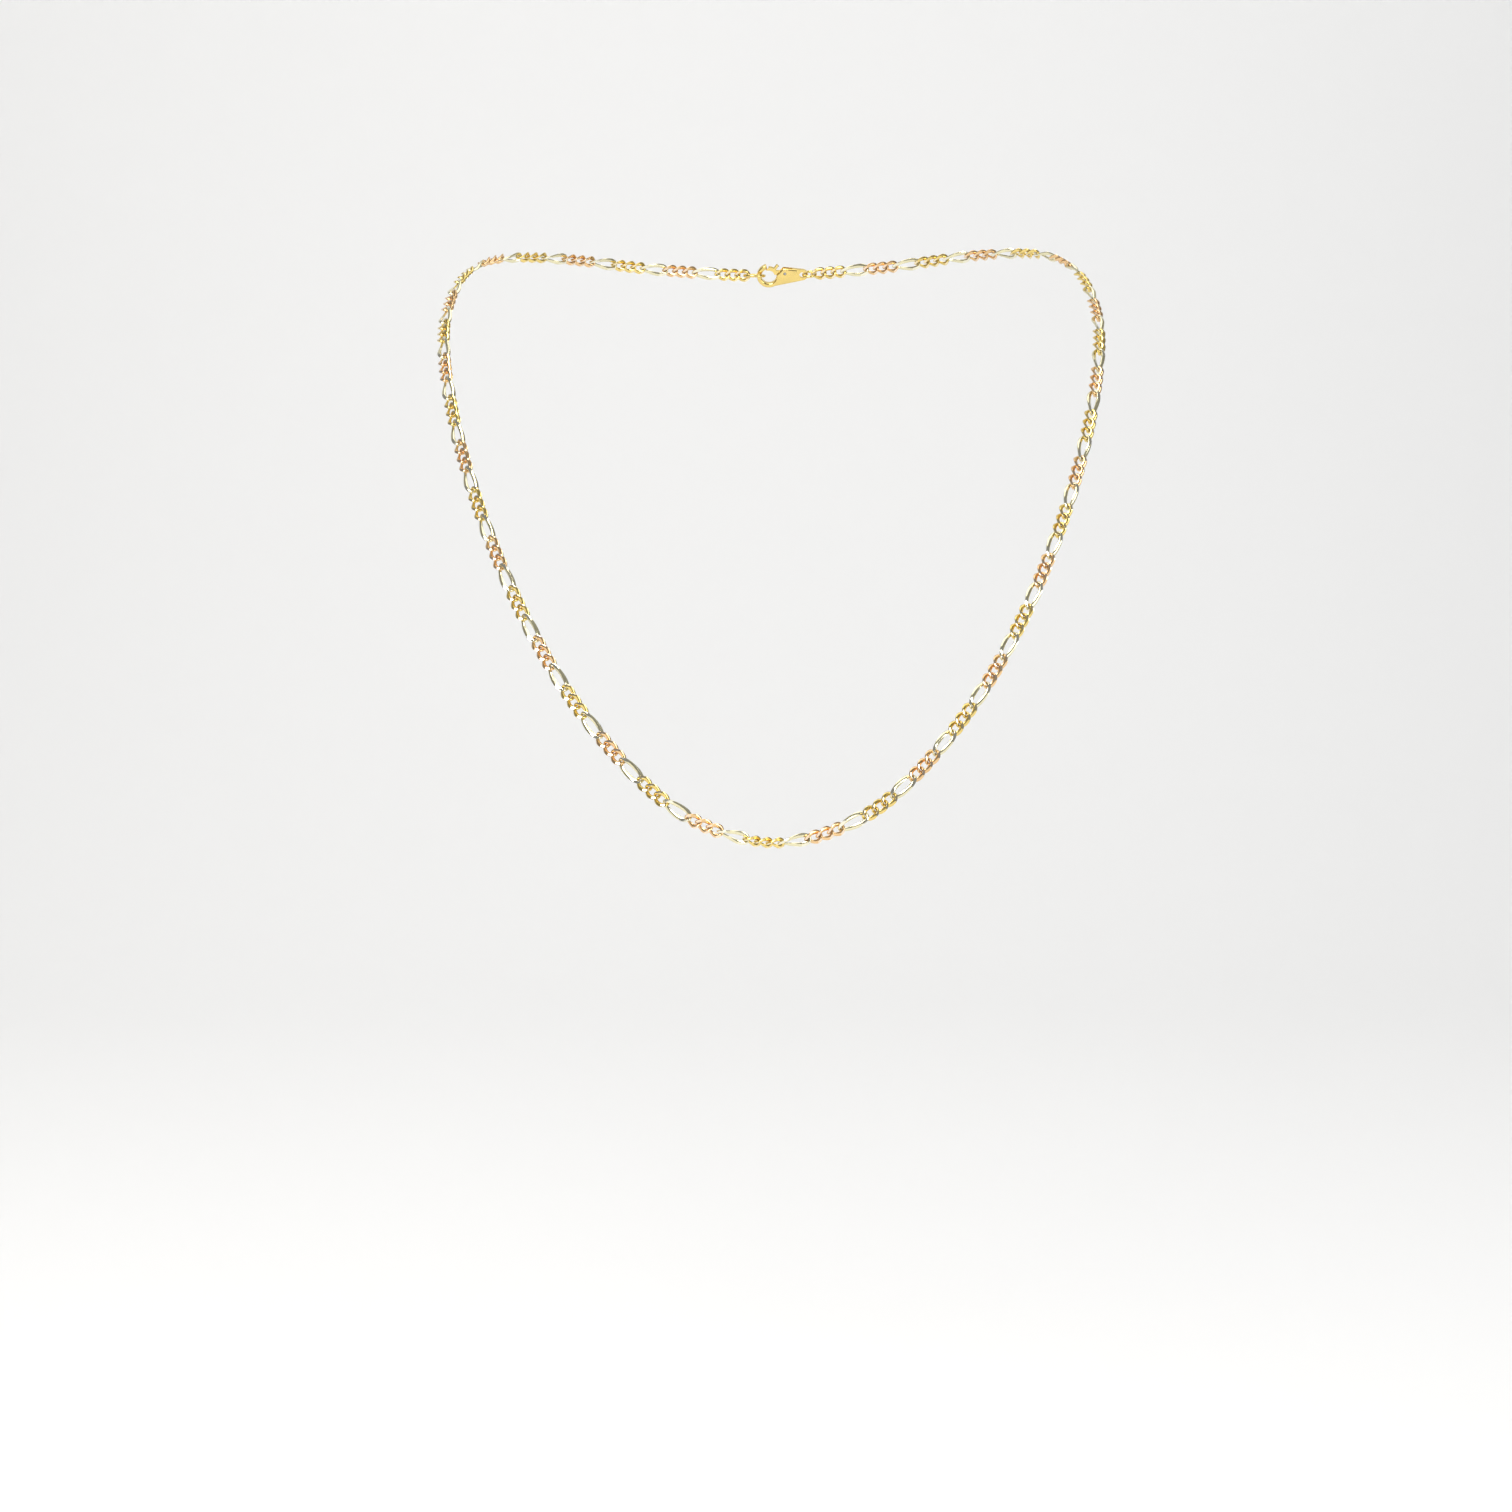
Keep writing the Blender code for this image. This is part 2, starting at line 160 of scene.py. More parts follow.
def mirrored(row):
    (x, y, z), (u, v, w) = row
    return (-x, y, z), (-u, v, w)


def catmull_rom(a, b, c, d, t):
    return 0.5 * (2 * b + (c - a) * t + (2 * a - 5 * b + 4 * c - d) * t**2 + (3 * b - a - 3 * c + d) * t**3)


class Route:
    """The closed line, read by the distance along it from the lowest point, positive towards +X."""

    def __init__(self, length):
        rows = list(ROUTE) + [mirrored(row) for row in ROUTE[-2:0:-1]]
        knots = np.array([place + facing for place, facing in rows], float)
        knots[:, :3] *= MM
        steps = np.arange(SAMPLES_PER_SPAN)[:, None] / SAMPLES_PER_SPAN
        count = len(knots)
        spans = [
            catmull_rom(knots[i - 1], knots[i], knots[(i + 1) % count], knots[(i + 2) % count], steps)
            for i in range(count)
        ]
        line = np.vstack(spans + [knots[:1]])
        along = np.linalg.norm(np.diff(line[:, :3], axis=0), axis=1).cumsum()
        scale = length / along[-1]
        line[:, :3] *= scale
        self.length = length
        self.along = np.append(0.0, along) * scale
        self.line = line
        self.origin = Vector((0, 0, 0))

    def read(self, distance):
        at = distance % self.length
        values = [np.interp(at, self.along, column) for column in self.line.T]
        return Vector(values[:3]) - self.origin, Vector(values[3:]).normalized()


def roll_at(distance):
    """How far the chain is turned over on its own line: most at its lowest trio, and less to each side."""
    return BOTTOM_ROLL * max(0.0, 1 - abs(distance - SLIP) / ROLL_REACH)


def frame_between(route, start, end, roll=0.0):
    """X along the chain, Z away from the skin, with the origin halfway between the two bearings."""
    first, _ = route.read(start)
    last, _ = route.read(end)
    _, facing = route.read((start + end) / 2)
    along = (last - first).normalized()
    out = (facing - facing.dot(along) * along).normalized()
    out.rotate(Matrix.Rotation(roll, 3, along))
    across = out.cross(along)
    turned = Matrix((along, across, out)).transposed().to_4x4()
    return Matrix.Translation((first + last) / 2) @ turned


def claw_frame(route, eye_at):
    """The claw's place, with its origin at the middle of the eye."""
    middle = frame_between(route, eye_at + TAIL_BEARING, eye_at + HOOK_BEARING)
    return middle @ Matrix.Translation((-(TAIL_BEARING + HOOK_BEARING) / 2, 0, 0))


# ---------------------------------------------------------------- finishes

# Each noise: how many cells it has in a metre, and its levels of detail
DRIFT_NOISE = (420, 3)
SHADE_AND_GRIME_NOISE = (2600, 4)
SCRATCH_NOISE = (3800, 5)
DRIFT_RANGE = (0.35, 0.65)
SCRATCH_STRETCH = (1.0, 3.5, 7.0)
SCRATCH_TURN = (0.4, 0.7, 0.2)
RECESS_DULLING = 0.25  # roughness that the full mask of painted shade and soil adds
SCRATCH_RELIEF = 0.02 * MM
BRIGHTENING = 0.35  # how far a ground flat is from the metal towards white


def noise(nodes, settings):
    texture = nodes.new("ShaderNodeTexNoise")
    texture.inputs["Scale"].default_value, texture.inputs["Detail"].default_value = settings
    return texture


def value_socket(group, name, kind, default, direction="INPUT"):
    socket = group.interface.new_socket(name=name, in_out=direction, socket_type=kind)
    if direction == "INPUT":
        socket.default_value = default
    return socket


def jewellers_finish():
    """Polished metal with a slight drift of tone, a darker tone painted into its recesses as shade and soil,
    and fine scratches from handling.
    """
    group = bpy.data.node_groups.new("jewellers_finish", "ShaderNodeTree")
    value_socket(group, "Metal", "NodeSocketColor", (0.8, 0.6, 0.3, 1))
    value_socket(group, "Shade And Soil", "NodeSocketColor", (0.2, 0.13, 0.06, 1))
    value_socket(group, "Shade And Soil Amount", "NodeSocketFloat", 0.6)
    value_socket(group, "Tone Drift", "NodeSocketFloat", 0.1)
    value_socket(group, "Polish", "NodeSocketFloat", 0.12)
    value_socket(group, "Handling", "NodeSocketFloat", 0.12)
    value_socket(group, "Scratch Depth", "NodeSocketFloat", 0.1)
    value_socket(group, "Color", "NodeSocketColor", None, "OUTPUT")
    value_socket(group, "Roughness", "NodeSocketFloat", None, "OUTPUT")
    value_socket(group, "Normal", "NodeSocketVector", None, "OUTPUT")
    nodes = group.nodes
    link = group.links.new
    given = nodes.new("NodeGroupInput")
    result = nodes.new("NodeGroupOutput")
    where = nodes.new("ShaderNodeTexCoord")

    drift = noise(nodes, DRIFT_NOISE)
    link(where.outputs["Object"], drift.inputs["Vector"])
    drift_range = nodes.new("ShaderNodeMapRange")
    drift_range.inputs["From Min"].default_value, drift_range.inputs["From Max"].default_value = DRIFT_RANGE
    link(drift.outputs["Fac"], drift_range.inputs["Value"])
    drift_share = nodes.new("ShaderNodeMath")
    drift_share.operation = "MULTIPLY"
    link(drift_range.outputs["Result"], drift_share.inputs[0])
    link(given.outputs["Tone Drift"], drift_share.inputs[1])
    toned = nodes.new("ShaderNodeMix")
    toned.data_type = "RGBA"
    link(drift_share.outputs["Value"], toned.inputs["Factor"])
    link(given.outputs["Metal"], toned.inputs["A"])
    link(given.outputs["Shade And Soil"], toned.inputs["B"])

    # Painted shade and soil: the recess attribute, broken up by noise, mixes the colour towards the darker
    # tone where the links bear on each other
    recess = nodes.new("ShaderNodeAttribute")
    recess.attribute_name = "recess"
    shade_and_grime = noise(nodes, SHADE_AND_GRIME_NOISE)
    link(where.outputs["Object"], shade_and_grime.inputs["Vector"])
    patchy = nodes.new("ShaderNodeMath")
    patchy.operation = "MULTIPLY"
    link(recess.outputs["Fac"], patchy.inputs[0])
    link(shade_and_grime.outputs["Fac"], patchy.inputs[1])
    shade_and_soil_share = nodes.new("ShaderNodeMath")
    shade_and_soil_share.operation = "MULTIPLY"
    shade_and_soil_share.use_clamp = True
    link(patchy.outputs["Value"], shade_and_soil_share.inputs[0])
    link(given.outputs["Shade And Soil Amount"], shade_and_soil_share.inputs[1])
    shaded_and_soiled = nodes.new("ShaderNodeMix")
    shaded_and_soiled.data_type = "RGBA"
    link(shade_and_soil_share.outputs["Value"], shaded_and_soiled.inputs["Factor"])
    link(toned.outputs["Result"], shaded_and_soiled.inputs["A"])
    link(given.outputs["Shade And Soil"], shaded_and_soiled.inputs["B"])
    link(shaded_and_soiled.outputs["Result"], result.inputs["Color"])

    stretch = nodes.new("ShaderNodeMapping")
    stretch.inputs["Scale"].default_value = SCRATCH_STRETCH
    stretch.inputs["Rotation"].default_value = SCRATCH_TURN
    link(where.outputs["Object"], stretch.inputs["Vector"])
    scratches = noise(nodes, SCRATCH_NOISE)
    link(stretch.outputs["Vector"], scratches.inputs["Vector"])
    rubbed = nodes.new("ShaderNodeMath")
    rubbed.operation = "MULTIPLY_ADD"
    link(scratches.outputs["Fac"], rubbed.inputs[0])
    link(given.outputs["Handling"], rubbed.inputs[1])
    link(given.outputs["Polish"], rubbed.inputs[2])
    dulled = nodes.new("ShaderNodeMath")
    dulled.operation = "MULTIPLY_ADD"
    dulled.inputs[1].default_value = RECESS_DULLING
    link(shade_and_soil_share.outputs["Value"], dulled.inputs[0])
    link(rubbed.outputs["Value"], dulled.inputs[2])
    link(dulled.outputs["Value"], result.inputs["Roughness"])

    bump = nodes.new("ShaderNodeBump")
    bump.inputs["Distance"].default_value = SCRATCH_RELIEF
    link(given.outputs["Scratch Depth"], bump.inputs["Strength"])
    link(scratches.outputs["Fac"], bump.inputs["Height"])
    link(bump.outputs["Normal"], result.inputs["Normal"])
    return group


def metal(name, finish, colour, shade_and_soil, **amounts):
    material = bpy.data.materials.new(name)
    material.use_nodes = True
    nodes = material.node_tree.nodes
    shader = nodes["Principled BSDF"]
    shader.inputs["Metallic"].default_value = 1.0
    group = nodes.new("ShaderNodeGroup")
    group.node_tree = finish
    group.inputs["Metal"].default_value = (*colour, 1)
    group.inputs["Shade And Soil"].default_value = (*shade_and_soil, 1)
    for key, amount in amounts.items():
        group.inputs[key.replace("_", " ").title()].default_value = amount
    link = material.node_tree.links.new
    link(group.outputs["Color"], shader.inputs["Base Color"])
    link(group.outputs["Roughness"], shader.inputs["Roughness"])
    link(group.outputs["Normal"], shader.inputs["Normal"])
    return material


def finishes():
    """Each gold comes as drawn and tumbled wire, and as the brighter flat that grinding leaves on it."""
    finish = jewellers_finish()
    wire = {"shade_and_soil_amount": 1.1, "tone_drift": 0.12, "polish": 0.13, "handling": 0.14, "scratch_depth": 0.12}
    flat = {"shade_and_soil_amount": 0.2, "tone_drift": 0.04, "polish": 0.07, "handling": 0.08, "scratch_depth": 0.06}
    # Each gold: its colour, and the darker tone that it drifts towards at random and that is painted into its
    # recesses as shade and soil
    golds = {
        "white_gold": ((0.84, 0.78, 0.52), (0.30, 0.25, 0.13)),
        "yellow_gold": ((0.87, 0.67, 0.24), (0.28, 0.17, 0.04)),
        "rose_gold": ((0.88, 0.60, 0.31), (0.28, 0.14, 0.06)),
    }
    made = {}
    for name, (colour, shade_and_soil) in golds.items():
        brighter = tuple(min(1.0, BRIGHTENING + (1 - BRIGHTENING) * c) for c in colour)
        made[name] = metal(f"{name}_wire", finish, colour, shade_and_soil, **wire)
        made[f"{name}_flat"] = metal(f"{name}_ground_flat", finish, brighter, colour, **flat)
    made["spring_steel"] = metal("blued_steel", finish, (0.42, 0.43, 0.46), (0.12, 0.11, 0.10), **wire)
    return made


# ---------------------------------------------------------------- shape tools

WIRE_SHARP = radians(40)  # edges bent further than this stay sharp in the shading
CAST_SHARP = radians(35)


def as_piece(name, mesh, body, node):
    piece = bpy.data.objects.new(name, mesh)
    bpy.context.scene.collection.objects.link(piece)
    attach(piece, body)
    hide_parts(node)
    return piece


def outward(bm):
    bmesh.ops.recalc_face_normals(bm, faces=bm.faces)
    if bm.calc_volume(signed=True) < 0:
        bmesh.ops.reverse_faces(bm, faces=bm.faces)


def finish_mesh(mesh, materials, sharp):
    for material in materials:
        mesh.materials.append(material)
    mesh.shade_smooth()
    mesh.set_sharp_from_angle(angle=sharp)
    return mesh


def mesh_of(bm, name, materials):
    outward(bm)
    mesh = bpy.data.meshes.new(name)
    bm.to_mesh(mesh)
    bm.free()
    return finish_mesh(mesh, materials, WIRE_SHARP)


def smooth_step(value, low, high):
    t = max(0.0, min(1.0, (value - low) / (high - low)))
    return t * t * (3 - 2 * t)


# ---------------------------------------------------------------- the links

LINK_STEPS = 32
WIRE_SIDES = 10
LONG_FULLNESS = 0.70  # 1 is an ellipse, and less is squarer
SHORT_FULLNESS = 0.88
# How far the oval's outward direction leans along the chain where the wire starts to thin and where it ends
THINNING = (0.3, 0.9)
SHADED_AND_SOILED_SIDE = (-0.1, 0.5)  # in wire widths towards the link's inside, from none to full painted shade and soil


def link_shape(name, pitch, fullness, wire, flat):
    """One link lying along X, face up: a ring of wire drawn out, twisted, and ground flat above and below."""
    bm = bmesh.new()
    recess = bm.verts.layers.float.new("recess")
    half_width = (CHAIN_WIDTH - SIDE_WIRE) / 2
    reach = (pitch + END_WIRE + PLAY) / 2
    radius = 2 * half_width
    section = bmesh.ops.create_circle(bm, segments=WIRE_SIDES, radius=half_width / 2)["verts"]
    bmesh.ops.rotate(bm, verts=section, cent=(0, 0, 0), matrix=Matrix.Rotation(pi / 2, 3, "X"))
    bmesh.ops.translate(bm, verts=section, vec=(radius, 0, 0))
    bmesh.ops.spin(
        bm,
        geom=bm.verts[:] + bm.edges[:],
        cent=(0, 0, 0),
        axis=(0, 0, 1),
        angle=2 * pi,
        steps=LINK_STEPS,
        use_merge=True,
    )
    for vert in bm.verts:
        draw_out(vert, recess, radius, half_width, reach, fullness)
    for side in (1, -1):
        grind(bm, side)
    return mesh_of(bm, name, [wire, flat])


def signed_power(value, exponent):
    return (1 if value > 0 else -1) * abs(value) ** exponent


def draw_out(vert, recess, radius, half_width, reach, fullness):
    """Moves a point of the round ring to its place on the twisted oval."""
    flat = Vector((vert.co.x, vert.co.y))
    turn = flat.normalized()
    across_wire = (flat.length - radius) / half_width
    up_wire = vert.co.z / half_width
    middle = Vector((reach * signed_power(turn.x, fullness), half_width * signed_power(turn.y, fullness)))
    out_x = signed_power(turn.x, 2 - fullness) / reach
    out_y = signed_power(turn.y, 2 - fullness) / half_width
    square_out = Vector((out_x, out_y)).normalized()
    endness = smooth_step(abs(square_out.x), *THINNING)
    wire = SIDE_WIRE + (END_WIRE - SIDE_WIRE) * endness
    place = middle + square_out * across_wire * wire
    twist = END_TWIST * min(1.0, max(-1.0, place.x / reach))
    vert.co = Matrix.Rotation(twist, 3, "X") @ Vector((place.x, place.y, up_wire * WIRE_THICKNESS))
    # The recess mask: painted shade and soil on the inside of the wire near the link's ends, where the
    # neighbours bear
    vert[recess] = smooth_step(-across_wire, *SHADED_AND_SOILED_SIDE) * endness


def grind(bm, side):
    """Cuts the link at the chain's flat face and closes the cut with a facet of its own finish."""
    cut = bmesh.ops.bisect_plane(
        bm,
        geom=bm.verts[:] + bm.edges[:] + bm.faces[:],
        plane_co=(0, 0, side * GRIND_HEIGHT),
        plane_no=(0, 0, side),
        clear_outer=True,
    )["geom_cut"]
    rims = [item for item in cut if isinstance(item, bmesh.types.BMEdge)]
    for face in bmesh.ops.edgeloop_fill(bm, edges=rims)["faces"]:
        face.material_index = 1


def link_piece(name, shape, frame, body, node):
    mesh = shape.copy()
    mesh.name = name
    mesh.transform(frame)
    return as_piece(name, mesh, body, node)


def link_row(route, shapes, node, body, start, kinds):
    """The links of one node in order along the chain. A kind is a gold and whether the link is long."""
    pitches = [LONG_PITCH if long else SHORT_PITCH for _, long in kinds]
    roll = roll_at(start + sum(pitches) / 2)
    at = start
    counts = {"long_link": 0, "short_link": 0}
    for (gold, long), pitch in zip(kinds, pitches):
        word = "long_link" if long else "short_link"
        counts[word] += 1
        frame = frame_between(route, at, at + pitch, roll)
        name = f"{node}_{word}_{counts[word]}"
        link_piece(name, shapes[gold, long], frame, body, node)
        at += pitch


def build_chain(route, metals):
    shapes = {}
    for gold, long in (("white_gold", True), ("yellow_gold", False), ("rose_gold", False)):
        pitch = LONG_PITCH if long else SHORT_PITCH
        fullness = LONG_FULLNESS if long else SHORT_FULLNESS
        flat = metals[f"{gold}_flat"]
        shapes[gold, long] = link_shape(f"{gold}_shape", pitch, fullness, metals[gold], flat)
    half_trio = GROUP_PITCH / 2
    bottom = [("yellow_gold", False)] * SHORTS_IN_GROUP
    link_row(route, shapes, "trio_bottom", "trio_bottom", SLIP - half_trio, bottom)
    for level in range(1, UNITS_PER_SIDE + 1):
        inner = half_trio + (level - 1) * UNIT_PITCH
        middle = inner + LONG_PITCH
        outer = inner + UNIT_PITCH
        trio = [("rose_gold" if level % 2 else "yellow_gold", False)] * SHORTS_IN_GROUP
        long_link = [("white_gold", True)]
        if level <= LOOSE_UNITS:
            rows = (("long_link", inner, middle, long_link), ("trio", middle, outer, trio))
        else:
            rows = (("unit", inner, outer, long_link + trio),)
        for side, sign in (("right", 1), ("left", -1)):
            for word, first, last, kinds in rows:
                body = f"{word}_{level:02d}"
                start = SLIP + (first if sign > 0 else -last)
                link_row(route, shapes, f"{body}_{side}", body, start, kinds if sign > 0 else kinds[::-1])


# ---------------------------------------------------------------- the clasp

CLAW_ROUNDING = 0.38 * MM  # of the rims of the blank
LEVER_ROUNDING = 0.13 * MM
CLAW_EDGES = 0.04 * MM  # of what the cuts leave
LEVER_EDGES = 0.03 * MM
SPRING_EDGES = 0.02 * MM
PIN_ROUNDING = 0.06 * MM
ROUNDED_EDGE = radians(38)  # the least bend of an edge that is rounded
HOOK_ROOT = radians(-118)  # where the hook's curve meets the claw's straight underside
TAIL_UNDER = radians(-100)
TAIL_OVER = radians(-260)
SHOULDER_AT = radians(152)  # round the eye
SHOULDER_OUT = (-0.9 * MM, 0.55 * MM)
THROAT_AT = radians(172)
SLOT_BACK = 1.75 * MM  # from the lever's pivot
SLOT_BELOW = 1.45 * MM
SLOT_PAST_EYE = 0.6 * MM
SLOT_ABOVE = 1.0 * MM
LEVER_TIP_SHORT = radians(9)  # of the hook's tip
LEVER_TIP_REACH = radians(6)
LEVER_TIP_BACK = radians(14)
LEVER_BACK_END = radians(122)
TAB_SPAN = (radians(124), radians(136))
TAB_FOOT = (radians(139), radians(147))
HEEL_SPAN = (radians(100), radians(290))
LEVER_THROAT = radians(170)
SPRING_LEAF = 0.16 * MM
SPRING_BEND = 0.62 * MM
SPRING_BACK = 1.62 * MM  # from the lever's pivot
SPRING_BELOW = 0.1 * MM
SPRING_SPAN = radians(55)
RING_SEAM = radians(1.2)
RING_SEAM_AT = radians(90)

def arc(centre, radius, start, end, steps):
    return [
        (
            centre[0] + radius * cos(start + (end - start) * i / steps),
            centre[1] + radius * sin(start + (end - start) * i / steps),
        )
        for i in range(steps + 1)
    ]


def plate(outline, thickness, rounding=0.0):
    """A piece cut to an outline in X and Y, centred on Z = 0, with both its rims rounded over."""
    bm = bmesh.new()
    face = bm.faces.new([bm.verts.new((x, y, -thickness / 2)) for x, y in outline])
    raised = bmesh.ops.extrude_face_region(bm, geom=[face])["geom"]
    corners = [item for item in raised if isinstance(item, bmesh.types.BMVert)]
    bmesh.ops.translate(bm, verts=corners, vec=(0, 0, thickness))
    outward(bm)
    if rounding:
        rims = [edge for edge in bm.edges if abs(edge.verts[0].co.z - edge.verts[1].co.z) < thickness / 2]
        bmesh.ops.bevel(
            bm,
            geom=rims,
            offset=rounding,
            affect="EDGES",
            segments=5,
            profile=0.5,
            material=-1,
            clamp_overlap=False,
        )
    return bm


def rod(centre, radius, length, sides=32):
    bm = bmesh.new()
    bmesh.ops.create_cone(bm, cap_ends=True, segments=sides, radius1=radius, radius2=radius, depth=length)
    bmesh.ops.translate(bm, verts=bm.verts, vec=(centre[0], centre[1], 0))
    return bm


def block(low, high):
    bm = bmesh.new()
    bmesh.ops.create_cube(bm, size=1)
    bmesh.ops.scale(bm, verts=bm.verts, vec=Vector(high) - Vector(low))
    bmesh.ops.translate(bm, verts=bm.verts, vec=(Vector(high) + Vector(low)) / 2)
    return bm


def scratch_object(name, bm):
    mesh = bpy.data.meshes.new(name)
    bm.to_mesh(mesh)
    bm.free()
    obj = bpy.data.objects.new(name, mesh)
    bpy.context.scene.collection.objects.link(obj)
    return obj


def cast(name, bm, cutters, rounding, materials):
    """A casting: the blank with its cuts, whose edges are broken as tumbling leaves them."""
    blank = scratch_object(f"{name}_blank", bm)
    tools = [scratch_object(f"{name}_cut_{i}", cutter) for i, cutter in enumerate(cutters)]
    for tool in tools:
        step = blank.modifiers.new(tool.name, "BOOLEAN")
        step.operation = "DIFFERENCE"
        step.solver = "EXACT"
        step.object = tool
    edges = blank.modifiers.new("rounding", "BEVEL")
    edges.width = rounding
    edges.segments = 3
    edges.limit_method = "ANGLE"
    edges.angle_limit = ROUNDED_EDGE
    edges.use_clamp_overlap = True
    ready = blank.evaluated_get(bpy.context.evaluated_depsgraph_get())
    mesh = bpy.data.meshes.new_from_object(ready)
    for obj in [blank] + tools:
        bpy.data.objects.remove(obj)
    mesh.name = name
    mesh.materials.clear()
    return finish_mesh(mesh, materials, CAST_SHARP)


def claw_body_mesh(metals):
    outer = EYE_RADIUS + HOOK_WALL
    tail = TAIL_HOLE + TAIL_WALL
    eye = (0.0, 0.0)
    tail_hole = (-EYE_TO_TAIL, 0.0)
    shoulder = (outer * cos(SHOULDER_AT) + SHOULDER_OUT[0], outer * sin(SHOULDER_AT) + SHOULDER_OUT[1])
    outline = arc(eye, outer, HOOK_TIP, HOOK_ROOT, 40)
    outline += arc(tail_hole, tail, TAIL_UNDER, TAIL_OVER, 20)
    outline += [shoulder]
    outline += arc(eye, EYE_RADIUS, THROAT_AT, radians(360) + HOOK_TIP, 48)
    tail_end = -EYE_TO_TAIL - 2 * tail
    tail_step = -EYE_TO_TAIL + tail
    cutters = [
        rod(tail_hole, TAIL_HOLE, 2 * CLAW_THICKNESS),
        rod(LEVER_PIVOT, PIN_RADIUS + PIN_GAP, 2 * CLAW_THICKNESS),
        block(
            (LEVER_PIVOT[0] - SLOT_BACK, LEVER_PIVOT[1] - SLOT_BELOW, -SLOT_WIDTH / 2),
            (-EYE_RADIUS + SLOT_PAST_EYE, outer + SLOT_ABOVE, SLOT_WIDTH / 2),
        ),
        block((tail_end, -2 * tail, -CLAW_THICKNESS), (tail_step, 2 * tail, -TAIL_THICKNESS / 2)),
        block((tail_end, -2 * tail, TAIL_THICKNESS / 2), (tail_step, 2 * tail, CLAW_THICKNESS)),
    ]
    blank = plate(outline, CLAW_THICKNESS, CLAW_ROUNDING)
    return cast("claw_body", blank, cutters, CLAW_EDGES, [metals["yellow_gold"]])


def claw_lever_mesh(metals):
    under_tip = EYE_RADIUS - LEVER_GAP
    inner = under_tip - LEVER_TIP_WALL
    outer = inner + LEVER_WALL
    tip = HOOK_TIP - LEVER_TIP_SHORT
    outline = arc((0, 0), under_tip, tip, HOOK_TIP + LEVER_TIP_REACH, 4)
    outline += arc((0, 0), outer, HOOK_TIP + LEVER_TIP_BACK, LEVER_BACK_END, 12)
    outline += arc((0, 0), outer + THUMB_TAB, *TAB_SPAN, 4)
    outline += arc((0, 0), outer, *TAB_FOOT, 2)
    outline += arc(LEVER_PIVOT, LEVER_HEEL, *HEEL_SPAN, 20)
    outline += arc((0, 0), inner, LEVER_THROAT, tip, 24)
    blank = plate(outline, SLOT_WIDTH - 2 * SLOT_GAP, LEVER_ROUNDING)
    hole = rod(LEVER_PIVOT, PIN_RADIUS + PIN_GAP, CLAW_THICKNESS)
    return cast("claw_lever", blank, [hole], LEVER_EDGES, [metals["yellow_gold"]])


def lever_spring_mesh(metals):
    centre = (LEVER_PIVOT[0] - SPRING_BACK, LEVER_PIVOT[1] - SPRING_BELOW)
    outline = arc(centre, SPRING_BEND + SPRING_LEAF / 2, -SPRING_SPAN, SPRING_SPAN, 16)
    outline += arc(centre, SPRING_BEND - SPRING_LEAF / 2, SPRING_SPAN, -SPRING_SPAN, 16)
    blank = plate(outline, SLOT_WIDTH - 2 * SLOT_GAP)
    return cast("lever_spring", blank, [], SPRING_EDGES, [metals["spring_steel"]])


def wire_ring_mesh(name, radius, wire, material):
    """A ring bent from wire in the X-Z plane, with the hairline where its two ends meet."""
    bm = bmesh.new()
    section = bmesh.ops.create_circle(bm, segments=20, radius=wire / 2)["verts"]
    bmesh.ops.translate(bm, verts=section, vec=(radius, 0, 0))
    start = Matrix.Rotation(RING_SEAM_AT + RING_SEAM / 2, 3, "Y")
    bmesh.ops.rotate(bm, verts=section, cent=(0, 0, 0), matrix=start)
    rim = bm.edges[:]
    turned = bmesh.ops.spin(
        bm, geom=bm.verts[:] + rim, cent=(0, 0, 0), axis=(0, 1, 0), angle=2 * pi - RING_SEAM, steps=72
    )["geom_last"]
    ends = [rim, [item for item in turned if isinstance(item, bmesh.types.BMEdge)]]
    for edges in ends:
        bmesh.ops.edgeloop_fill(bm, edges=edges)
    return mesh_of(bm, name, [material])


def build_clasp(route, metals, eye_at):
    tail_at = eye_at + TAIL_BEARING
    hook_at = eye_at + HOOK_BEARING
    seat = claw_frame(route, eye_at)
    pin_blank = rod(LEVER_PIVOT, PIN_RADIUS, CLAW_THICKNESS - 2 * PIN_SINK)
    pin = cast("lever_pin", pin_blank, [], PIN_ROUNDING, [metals["spring_steel"]])
    parts = (
        ("claw_body", claw_body_mesh(metals), seat, "claw", "yellow_gold"),
        ("claw_lever", claw_lever_mesh(metals), seat, "claw_lever", "yellow_gold"),
        ("lever_pin", pin, seat, "claw", "spring_steel"),
        ("lever_spring", lever_spring_mesh(metals), seat, "claw", "spring_steel"),
        (
            "claw_ring",
            wire_ring_mesh("claw_ring", CLAW_RING_RADIUS, CLAW_RING_WIRE, metals["yellow_gold"]),
            frame_between(route, tail_at - CLAW_RING_PITCH, tail_at),
            "clasp_rings",
            "yellow_gold",
        ),
        (
            "catch_ring",
            wire_ring_mesh("catch_ring", CATCH_RING_RADIUS, CATCH_RING_WIRE, metals["yellow_gold"]),
            frame_between(route, hook_at, hook_at + CATCH_RING_PITCH, CATCH_RING_TILT),
            "clasp_rings",
            "yellow_gold",
        ),
    )
    for node, mesh, place, body, slot in parts:
        mesh.transform(place)
        as_piece(f"{node}_finished", mesh, body, node)


# ---------------------------------------------------------------- room, light and camera

FLOOR_COLOUR = (0.92, 0.92, 0.915)
WORLD_COLOUR = (0.97, 0.98, 1.0, 1)
WORLD_STRENGTH = 0.27
# Each light: its place from the necklace's middle, its two sizes, its power and its colour
LIGHTS = {
    "key": ((-0.30, -0.55, 0.55), (0.45, 0.45), 6, (1.0, 0.98, 0.95)),
    "fill": ((0.60, -0.50, 0.10), (0.20, 0.5), 1.8, (0.95, 0.97, 1.0)),
    "top": ((0.0, 0.10, 0.9), (0.8, 0.8), 3, (1, 1, 1)),
}


def plain_material(name, colour, roughness):
    material = bpy.data.materials.new(name)
    material.use_nodes = True
    shader = material.node_tree.nodes["Principled BSDF"]
    shader.inputs["Base Color"].default_value = (*colour, 1)
    shader.inputs["Roughness"].default_value = roughness
    return material


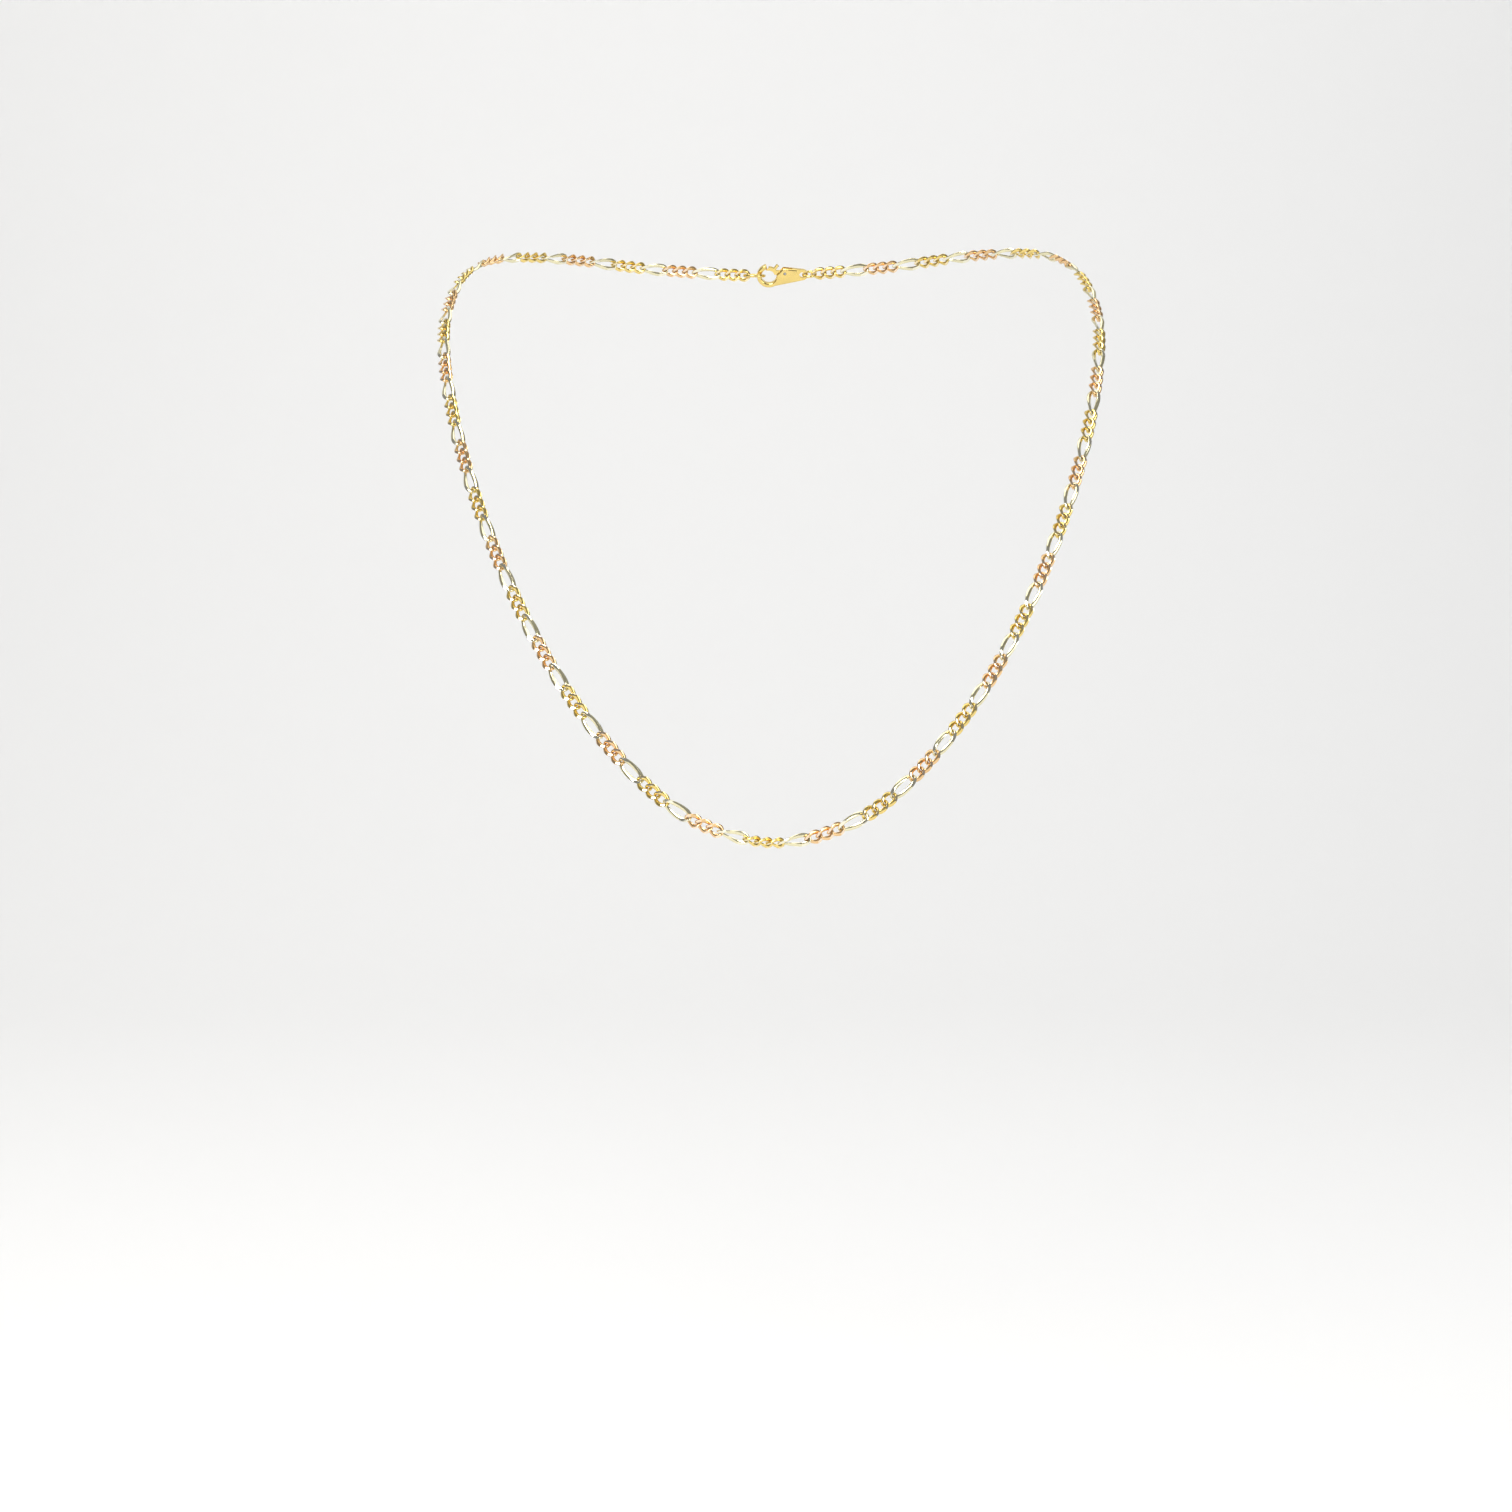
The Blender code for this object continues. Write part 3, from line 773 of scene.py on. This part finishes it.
def build_floor(lowest):
    """A pale floor that sweeps up behind the necklace into a pale wall."""
    bm = bmesh.new()
    front = bm.verts.new((0, -FLOOR_REACH, 0))
    corner = [bm.verts.new((0, y, z)) for y, z in arc((WALL_BACK - SWEEP, SWEEP), SWEEP, radians(-90), 0, 16)]
    top = bm.verts.new((0, WALL_BACK, WALL_HEIGHT))
    line = [front] + corner + [top]
    edges = [bm.edges.new(pair) for pair in zip(line, line[1:])]
    wide = bmesh.ops.extrude_edge_only(bm, edges=edges)["geom"]
    bmesh.ops.translate(bm, verts=line, vec=(-FLOOR_REACH, 0, 0))
    far = [item for item in wide if isinstance(item, bmesh.types.BMVert)]
    bmesh.ops.translate(bm, verts=far, vec=(FLOOR_REACH, 0, 0))
    bmesh.ops.translate(bm, verts=bm.verts, vec=(0, 0, lowest.z - FLOOR_DROP))
    bmesh.ops.recalc_face_normals(bm, faces=bm.faces)
    mesh = bpy.data.meshes.new("floor")
    bm.to_mesh(mesh)
    bm.free()
    mesh.shade_smooth()
    mesh.materials.append(plain_material("pale_floor", FLOOR_COLOUR, 0.7))
    floor = bpy.data.objects.new("floor", mesh)
    bpy.context.scene.collection.objects.link(floor)


def area_light(name, place, target, size, power, colour):
    light = bpy.data.lights.new(name, "AREA")
    light.shape = "RECTANGLE"
    light.size, light.size_y = size
    light.energy = power
    light.color = colour
    obj = bpy.data.objects.new(name, light)
    bpy.context.scene.collection.objects.link(obj)
    obj.location = place
    obj.rotation_euler = (Vector(target) - Vector(place)).to_track_quat("-Z", "Y").to_euler()


def build_lights(middle):
    world = bpy.data.worlds.new("studio")
    world.use_nodes = True
    world.node_tree.nodes["Background"].inputs["Color"].default_value = WORLD_COLOUR
    world.node_tree.nodes["Background"].inputs["Strength"].default_value = WORLD_STRENGTH
    bpy.context.scene.world = world
    bpy.context.scene.view_settings.view_transform = "Standard"
    for name, (offset, size, power, colour) in LIGHTS.items():
        area_light(name, middle + Vector(offset), middle, size, power, colour)


def build_camera(lowest):
    camera = bpy.data.objects.new("camera", bpy.data.cameras.new("camera"))
    bpy.context.scene.collection.objects.link(camera)
    camera.data.lens = LENS
    camera.data.clip_start = 0.01
    forward = Vector((0, cos(VIEW_TILT), -sin(VIEW_TILT)))
    upward = Vector((0, sin(VIEW_TILT), cos(VIEW_TILT)))
    aim = lowest + Vector((VIEW_SIDE, 0, 0)) + upward * VIEW_RISE
    turn = Matrix((Vector((1, 0, 0)), upward, -forward)).transposed() @ Matrix.Rotation(VIEW_ROLL, 3, "Z")
    camera.matrix_world = Matrix.Translation(aim - forward * VIEW_DISTANCE) @ turn.to_4x4()
    bpy.context.scene.camera = camera


def main():
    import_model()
    route = Route(NECKLACE_LENGTH)
    eye_at = SLIP + CHAIN_LENGTH / 2 + CLAW_RING_PITCH - TAIL_BEARING
    route.origin = claw_frame(route, eye_at) @ Vector((*NAPE_SEAT, -CLAW_THICKNESS / 2))
    lowest, _ = route.read(0)
    build_camera(lowest)
    metals = finishes()
    build_chain(route, metals)
    build_clasp(route, metals, eye_at)
    build_floor(lowest)
    build_lights((lowest + route.read(NECKLACE_LENGTH / 2)[0]) / 2)


main()
